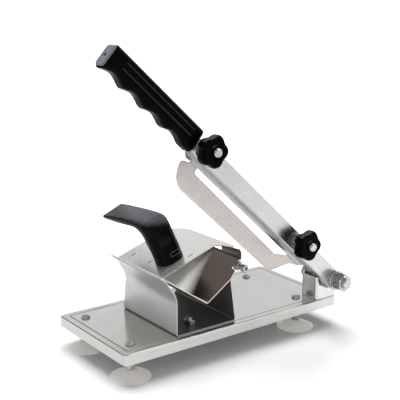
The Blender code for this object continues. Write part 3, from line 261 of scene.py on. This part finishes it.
def group_of(name, inputs, outputs):
    """Shader node group with named sockets; each socket is (kind, name, value)."""
    tree = bpy.data.node_groups.new(name, "ShaderNodeTree")
    for side, sockets in (("INPUT", inputs), ("OUTPUT", outputs)):
        for kind, label, value in sockets:
            made = tree.interface.new_socket(label, in_out=side, socket_type="NodeSocket" + kind)
            if value is not None:
                made.default_value = value
    return tree, add(tree, "NodeGroupInput"), add(tree, "NodeGroupOutput")


def grain_group():
    """Brushed grain: fine streaks along X, and slow smudges over them."""
    tree, given, result = group_of(
        "brushed_grain",
        (("Vector", "Vector", None), ("Float", "Fine", FINE), ("Float", "Length", LENGTH),
         ("Float", "Smudge", SMUDGE)),
        (("Float", "Streaks", None), ("Float", "Smudges", None)))
    size = add(tree, "ShaderNodeCombineXYZ")
    for label, axis in (("Length", "X"), ("Fine", "Y"), ("Fine", "Z")):
        tree.links.new(given.outputs[label], size.inputs[axis])
    drawn = add(tree, "ShaderNodeVectorMath", operation="MULTIPLY")
    tree.links.new(given.outputs["Vector"], drawn.inputs[0])
    tree.links.new(size.outputs[0], drawn.inputs[1])
    tree.links.new(noise(tree, drawn.outputs[0], scale=1.0, detail=3.0, roughness=0.65),
                   result.inputs["Streaks"])
    tree.links.new(noise(tree, given.outputs["Vector"], given.outputs["Smudge"], detail=2.5),
                   result.inputs["Smudges"])
    return tree


def past(tree, where, zone):
    """0 before a zone's start, 1 past its end, along its aim."""
    return range_of(tree, along(tree, where.outputs[zone.source], zone.aim), 0.0, 1.0,
                    start=zone.start, end=zone.end)


def bumped(tree, shader, height, distance, strength):
    """Let a height raise and sink a shader's surface."""
    made = add(tree, "ShaderNodeBump")
    made.inputs["Strength"].default_value = strength
    made.inputs["Distance"].default_value = distance
    tree.links.new(height, made.inputs["Height"])
    tree.links.new(made.outputs["Normal"], shader.inputs["Normal"])


def faces_middle(tree, where, middle):
    """1 on sides that face a middle X, and on floors, in the piece's own coordinates."""
    off = calculated(tree, "SUBTRACT", along(tree, where.outputs["Object"], RIGHT), middle)
    outward = calculated(tree, "MULTIPLY", calculated(tree, "SIGN", off),
                         along(tree, where.outputs["Normal"], RIGHT))
    upward = along(tree, where.outputs["Normal"], UP)
    return range_of(tree, calculated(tree, "SUBTRACT", upward, outward), 0.0, 1.0,
                    start=0.45, end=0.75)


GRAIN = grain_group()


def brushed_steel(name, clean, smudged, rough, turn=(0, 0, 0), fine=FINE, length=LENGTH,
                  inside=None, zones=(), metal=1.0):
    """Brushed sheet with its grain along the turned X. Sides that face the inside's middle X
    take its colour as painted shade. A zone has its own colour and metallic, and is rougher."""
    made, tree, shader = surface(name)
    where = add(tree, "ShaderNodeTexCoord")
    shader.inputs["Metallic"].default_value = metal
    mapping = add(tree, "ShaderNodeMapping")
    mapping.inputs["Rotation"].default_value = turn
    tree.links.new(where.outputs["Object"], mapping.inputs["Vector"])
    grain = add(tree, "ShaderNodeGroup", node_tree=GRAIN)
    grain.inputs["Fine"].default_value = fine
    grain.inputs["Length"].default_value = length
    tree.links.new(mapping.outputs[0], grain.inputs["Vector"])
    streaks = grain.outputs["Streaks"]
    soft = mixed(tree, range_of(tree, grain.outputs["Smudges"], 0.0, 1.0), clean, smudged)
    dark = tuple(value * STREAK_DARK for value in smudged)
    colour = mixed(tree, range_of(tree, streaks, 0.0, STREAK_SHARE), soft, dark)
    if inside is not None:
        colour = mixed(tree, faces_middle(tree, where, inside.middle), colour, inside.colour)
    dulled = range_of(tree, streaks, rough * 0.8, rough * 1.35)
    for zone in zones:
        amount = past(tree, where, zone)
        colour = mixed(tree, amount, colour, zone.colour)
        dulled = calculated(tree, "MULTIPLY_ADD", amount, zone.rougher, dulled)
        if zone.metallic < 1.0:
            tree.links.new(range_of(tree, amount, metal, zone.metallic, start=0.0, end=1.0),
                           shader.inputs["Metallic"])
    tree.links.new(colour, shader.inputs["Base Color"])
    tree.links.new(dulled, shader.inputs["Roughness"])
    bumped(tree, shader, streaks, distance=0.00003, strength=0.5)
    return made


def finish_with(look, *names):
    """Give CAD solids their finish."""
    for name in names:
        mesh = solids[name].data
        mesh.materials.clear()
        mesh.materials.append(look)


finish_with(brushed_steel("tray_brushed", clean=(0.645, 0.64, 0.625),
                          smudged=(0.585, 0.58, 0.565), rough=0.17, zones=(LEFT_SKIRT_SHADE,)),
            "base_tray")


# Feet
# Four white rubber suction cups hang on plated screws through the tray's corners. A nut
# rests on each cup and a thin one locks the screw under the sheet.

CORNERS = ("front_left", "front_right", "back_left", "back_right")
BLOTCH_SCALE, BLOTCH_DARK = 420.0, 0.62
MILK, MILK_DARK = (0.98, 0.955, 0.87), (0.95, 0.915, 0.82)
CLOUD_SCALE, PAINTED_GLOW = 160.0, 0.14


def plated(name, colour=(0.60, 0.61, 0.62), rough=0.18):
    """Zinc-plated screw or nut: bright, with a faint blotchy dullness."""
    made, tree, shader = surface(name)
    shader.inputs["Metallic"].default_value = 1.0
    blotch = noise(tree, add(tree, "ShaderNodeTexCoord").outputs["Object"], BLOTCH_SCALE,
                   detail=3.0)
    dull = tuple(value * BLOTCH_DARK for value in colour)
    tree.links.new(mixed(tree, range_of(tree, blotch, 0.0, 1.0), colour, dull),
                   shader.inputs["Base Color"])
    tree.links.new(range_of(tree, blotch, rough, rough * 1.8), shader.inputs["Roughness"])
    bumped(tree, shader, blotch, distance=0.00005, strength=0.3)
    return made


def rubber(name):
    """Milky soft rubber with fine mould marks, and a faint glow of painted light."""
    made, tree, shader = surface(name)
    shader.inputs["Subsurface Weight"].default_value = 0.9
    shader.inputs["Subsurface Radius"].default_value = (1.0, 0.93, 0.85)
    shader.inputs["Subsurface Scale"].default_value = 0.010
    # Painted light: the rubber glows faintly in its own milky colour.
    shader.inputs["Emission Strength"].default_value = PAINTED_GLOW
    cloud = noise(tree, add(tree, "ShaderNodeTexCoord").outputs["Object"], CLOUD_SCALE)
    milky = mixed(tree, range_of(tree, cloud, 0.0, 1.0), MILK, MILK_DARK)
    tree.links.new(milky, shader.inputs["Base Color"])
    tree.links.new(milky, shader.inputs["Emission Color"])
    tree.links.new(range_of(tree, cloud, 0.30, 0.45), shader.inputs["Roughness"])
    bumped(tree, shader, cloud, distance=0.0001, strength=0.3)
    return made


finish_with(rubber("cup_rubber"), *("foot_cup_" + corner for corner in CORNERS))
finish_with(plated("foot_plating"),
            *(part + corner for corner in CORNERS
              for part in ("foot_screw_", "foot_lock_nut_", "foot_nut_")))


# Stand
# One folded stainless sheet carries the trough: its left wall curves over the top, its
# floor is bolted to the tray, and its inside is painted much darker as shade.

# Painted shade: sides facing the stand's middle, and its upward faces, get a dark colour.
STAND_INSIDE_SHADE = Inside(middle=-0.0286, colour=(0.16, 0.155, 0.145))
ACROSS = (0, 0, math.pi / 2)

finish_with(brushed_steel("stand_brushed", clean=(0.70, 0.70, 0.69), smudged=(0.62, 0.62, 0.61),
                          rough=0.40, turn=ACROSS, inside=STAND_INSIDE_SHADE, metal=0.65),
            "trough_stand")
finish_with(plated("stand_plating"), "stand_bolt_front", "stand_bolt_back", "stand_nut_front",
            "stand_nut_back")


# Trough
# The V trough is polished stainless sheet. A pale, duller band along the presser's path is
# painted light that stands for a bright reflection. A low flap stands on its right edge, and
# a drilled tab beside the notch holds the guide bolt.
# A thin dark disc paints the shade of the small hole near the top of the right wing.

# Painted reflection: a pale, less metallic, rougher band on the trough near the presser.
PAINTED_REFLECTION = Zone("Object", aim=(-0.633, 1.0, 0.0), start=-0.031, end=-0.005,
              colour=(0.74, 0.73, 0.705), metallic=0.25, rougher=0.30)
FLAP_SHADE = Zone("Object", aim=(1.0, 0.0, 1.0), start=0.150, end=0.153,
                  colour=(0.17, 0.155, 0.145), rougher=0.05)
WING_HOLE = Vector((0.0345, -0.0394, 0.1166))
WING_NORMAL = Vector((-0.555, 0.0, 0.832))
DISC_RADIUS, DISC_TOP, DISC_THICK = 0.0015, 0.0013, 0.0002


def add_piece(name, bm, body, look):
    """Make a piece from a mesh, riding on a body and with a slot's finish."""
    bmesh.ops.recalc_face_normals(bm, faces=bm.faces)
    mesh = bpy.data.meshes.new(name)
    bm.to_mesh(mesh)
    bm.free()
    mesh.materials.append(look)
    made = bpy.data.objects.new(name, mesh)
    bpy.context.scene.collection.objects.link(made)
    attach(made, body)


finish_with(brushed_steel("trough_brushed", clean=(0.66, 0.64, 0.61), smudged=(0.58, 0.56, 0.54),
                          rough=0.19, turn=ACROSS, zones=(PAINTED_REFLECTION, FLAP_SHADE)), "trough")
finish_with(plated("guide_plating", colour=(0.50, 0.50, 0.51)), "guide_bolt", "guide_nut")

# Painted shade: a dark disc lies where the small hole is.
hole_shade, _, shader = surface("hole_shade")
shader.inputs["Base Color"].default_value = (0.03, 0.028, 0.026, 1.0)
shader.inputs["Roughness"].default_value = 0.6
bm = bmesh.new()
bmesh.ops.create_cone(bm, cap_ends=True, segments=24, radius1=DISC_RADIUS, radius2=DISC_TOP,
                      depth=DISC_THICK)
bmesh.ops.transform(bm, verts=bm.verts, matrix=Matrix.Translation(WING_HOLE) @
                    WING_NORMAL.to_track_quat("Z", "Y").to_matrix().to_4x4())
add_piece("wing_hole", bm, "base", hole_shade)


# Presser
# A flat stainless plate with lanced teeth slides on the trough, pushed by a bent palm
# handle of glossy black plastic that two screws hold from below. The handle's top is
# painted grey as sheen, and a grey rim round the recess in its stem is a painted highlight.

# Painted light: faces that look down are given a pale, barely metallic colour.
PAINTED_UNDERSIDE_LIGHT = Zone("Normal", aim=(0.0, 0.0, -1.0), start=0.6, end=0.8,
                 colour=(0.92, 0.91, 0.88), metallic=0.15, rougher=0.3)
# Painted sheen: the handle's top is paler than its stem.
TOP_SHEEN = Zone("Object", aim=UP, start=0.154, end=0.160,
                colour=(0.060, 0.064, 0.076))
PALE_SPOTS = 1.6
TROUGH_LEAN = math.radians(18.38)
RECESS_LEAN = math.radians(93.3)
RECESS = Vector((-0.0163, 0.0067, 0.1164))
RECESS_HALF, RECESS_RADIUS = 0.0045, 0.0031
RIM_WIDE, RIM_TALL = 0.0006, 0.0003
SORTED_ALONG = Vector((1.0, 0.3, 5.0))


def moulded(name, colour, rough, depth, scale=260.0, gloss=0.5, sheen_zone=None):
    """Moulded plastic with a soft unevenness in its gloss, and a zone painted paler as sheen."""
    made, tree, shader = surface(name)
    where = add(tree, "ShaderNodeTexCoord")
    shader.inputs["Specular IOR Level"].default_value = gloss
    skin = noise(tree, where.outputs["Object"], scale, detail=4.0)
    pale = tuple(value * PALE_SPOTS for value in colour)
    shown = mixed(tree, range_of(tree, skin, 0.0, 1.0), colour, pale)
    if sheen_zone is not None:
        shown = mixed(tree, past(tree, where, sheen_zone), shown, sheen_zone.colour)
    tree.links.new(shown, shader.inputs["Base Color"])
    tree.links.new(range_of(tree, skin, rough * 0.8, rough * 1.4), shader.inputs["Roughness"])
    bumped(tree, shader, skin, distance=depth, strength=0.4)
    return made


finish_with(brushed_steel("plate_brushed", clean=(0.74, 0.735, 0.72),
                          smudged=(0.67, 0.665, 0.65), rough=0.22, zones=(PAINTED_UNDERSIDE_LIGHT,),
                          metal=0.70), "presser_plate")
finish_with(moulded("palm_gloss", colour=(0.0012, 0.0015, 0.002), rough=0.12, depth=0.00008,
                    scale=60.0, gloss=0.08, sheen_zone=TOP_SHEEN), "presser_handle")
finish_with(plated("presser_plating"), "presser_screw_front", "presser_screw_back")

# Painted highlight: a thin raised grey rim round the mouth of the stem's recess.
bm = bmesh.new()
bmesh.ops.create_circle(bm, cap_ends=True, segments=40, radius=RECESS_RADIUS)
for point in bm.verts:
    point.co.x += math.copysign(RECESS_HALF, point.co.x)
mouth = list(bm.faces)
bmesh.ops.inset_region(bm, faces=mouth, thickness=RIM_WIDE, use_boundary=True,
                       use_even_offset=True)
bmesh.ops.delete(bm, geom=mouth, context="FACES")
raised = bmesh.ops.extrude_face_region(bm, geom=list(bm.faces))["geom"]
bmesh.ops.translate(bm, vec=(0.0, 0.0, RIM_TALL),
                    verts=[item for item in raised if isinstance(item, bmesh.types.BMVert)])
# The extrusion puts its points and faces in another order each run, so they are sorted.
bm.verts.sort(key=lambda vert: vert.co.dot(SORTED_ALONG))
bm.faces.sort(key=lambda face: face.calc_center_median().dot(SORTED_ALONG))
bmesh.ops.transform(bm, verts=bm.verts, matrix=Matrix.Translation(RECESS) @
                    Matrix.Rotation(-TROUGH_LEAN, 4, "Y") @ Matrix.Rotation(RECESS_LEAN, 4, "X"))
add_piece("recess_rim", bm, "presser",
          moulded("rim_highlight", colour=(0.16, 0.165, 0.175), rough=0.3, depth=0.00004))


# Bracket and pivot
# A bright folded bracket stands on the tray's right end. The arm turns on a bolt through
# its ears, with a spacer behind the arm, and a washer, a spring ring and a nut in front.
# The bolt's threaded end shows past the nut.

PIVOT = Vector((0.168404, 0.0, 0.072))
PIVOT_NUT_FRONT = -0.1235
THREAD_STEPS = 32
TOOTH_TOP, TOOTH_END = 0.35, 0.70


def thread(name, start, radius, depth, pitch, turns, body, look):
    """Screw thread round a bolt, from the start point toward the front."""
    bm = bmesh.new()
    tooth = [bm.verts.new(start + Vector((radius + out, -pitch * share, 0.0)))
             for out, share in ((-depth, 0.0), (depth, TOOTH_TOP), (-depth, TOOTH_END))]
    edges = [bm.edges.new(pair) for pair in zip(tooth, tooth[1:] + tooth[:1])]
    steps = round(THREAD_STEPS * turns)
    bmesh.ops.spin(bm, geom=tooth + edges, cent=start, axis=(0.0, -1.0, 0.0), steps=steps,
                   dvec=(0.0, -pitch * turns / steps, 0.0), angle=math.tau * turns)
    bmesh.ops.holes_fill(bm, edges=[edge for edge in bm.edges if edge.is_boundary])
    add_piece(name, bm, body, look)


finish_with(brushed_steel("bracket_brushed", clean=(0.70, 0.70, 0.69),
                          smudged=(0.62, 0.62, 0.61), rough=0.16, turn=(0, math.pi / 2, 0)),
            "pivot_bracket")
pivot_plating = plated("pivot_plating")
finish_with(pivot_plating, "pivot_bolt", "pivot_nut", "pivot_washer", "pivot_lock_ring",
            "bracket_bolt_front", "bracket_bolt_back", "bracket_nut_front", "bracket_nut_back")
thread("pivot_thread", PIVOT + Vector((0.0, PIVOT_NUT_FRONT, 0.0)), radius=0.0070,
       depth=0.0003, pitch=0.0020, turns=1.4, body="base", look=pivot_plating)
finish_with(plated("spacer_plating", colour=(0.42, 0.42, 0.42), rough=0.25), "pivot_spacer")


# Arm
# The arm is a brushed stainless channel, and the knife's holder lies behind it. Their
# grain runs along them from the pivot to the handle.

ARM_LEAN = math.radians(42.4)

finish_with(brushed_steel("arm_brushed", clean=(0.60, 0.60, 0.595), smudged=(0.53, 0.53, 0.525),
                          rough=0.24, turn=(0, -ARM_LEAN, 0)), "arm_bar")
finish_with(brushed_steel("holder_brushed", clean=(0.50, 0.50, 0.505),
                          smudged=(0.43, 0.43, 0.435), rough=0.22, turn=(0, -ARM_LEAN, 0)),
            "blade_holder")


# Knife
# The knife is ground steel with a warmer tone than the sheet, and its grinding lines run
# square to the edge.

finish_with(brushed_steel("knife_ground", clean=(0.54, 0.50, 0.475),
                          smudged=(0.47, 0.435, 0.415), rough=0.30,
                          turn=(0, math.pi / 2 - ARM_LEAN, 0), fine=1400.0, length=30.0),
            "blade")


# Clamps
# Each clamp is a plated bolt with a nut and washer, tightened by a glossy black knob with
# five lobes. The bolt's threaded end shows in the knob's middle.

THREAD_STARTS = {"low": Vector((0.09790, -0.1306, 0.13745)),
                 "high": Vector((-0.05440, -0.1306, 0.27655))}
SHEEN = Zone("Normal", aim=(-0.35, -0.35, 0.87), start=0.86, end=0.97,
             colour=(0.050, 0.055, 0.060))

clamp_plating = plated("clamp_plating")
knob_gloss = moulded("knob_gloss", colour=(0.0005, 0.0005, 0.0007), rough=0.14,
                     depth=0.00006, scale=80.0, gloss=0.03, sheen_zone=SHEEN)
for end, start in THREAD_STARTS.items():
    finish_with(clamp_plating, "clamp_bolt_" + end, "clamp_nut_" + end, "clamp_washer_" + end)
    finish_with(knob_gloss, "star_knob_" + end)
    thread("clamp_thread_" + end, start, radius=0.0050, depth=0.0002, pitch=0.0012,
           turns=2.2, body="arm", look=clamp_plating)


# Handle
# The grip is one moulding of dull black plastic with hollows for four fingers, and two
# thin grey beads along its side are painted highlights. A grey cap with a small hole
# closes its end.

GRIP_FRONT = -0.1111
LINE_ALONG, LINE_LONG, LINE_RADIUS = 0.3910, 0.1190, 0.00030
LINES = {"grip_line_high": 0.0076, "grip_line_low": -0.0004}

finish_with(moulded("grip_dull", colour=(0.0006, 0.0007, 0.001), rough=0.30, depth=0.00012,
                    scale=500.0, gloss=0.035), "arm_handle")
finish_with(moulded("cap_grey", colour=(0.12, 0.135, 0.16), rough=0.40, depth=0.00008,
                    scale=300.0), "handle_cap")

# Painted highlights: two thin grey beads laid along the grip's side.
line_highlight = moulded("line_highlight", colour=(0.06, 0.063, 0.067), rough=0.35, depth=0.00004)
for name, off in LINES.items():
    bm = bmesh.new()
    bmesh.ops.create_cone(bm, cap_ends=True, segments=8, radius1=LINE_RADIUS,
                          radius2=LINE_RADIUS, depth=LINE_LONG)
    middle = PIVOT + Vector((off * math.sin(ARM_LEAN) - LINE_ALONG * math.cos(ARM_LEAN), 0.0,
                             off * math.cos(ARM_LEAN) + LINE_ALONG * math.sin(ARM_LEAN)))
    middle.y = GRIP_FRONT + LINE_RADIUS
    bmesh.ops.transform(bm, verts=bm.verts, matrix=Matrix.Translation(middle) @
                        Matrix.Rotation(ARM_LEAN - math.pi / 2, 4, "Y"))
    add_piece(name, bm, "arm", line_highlight)
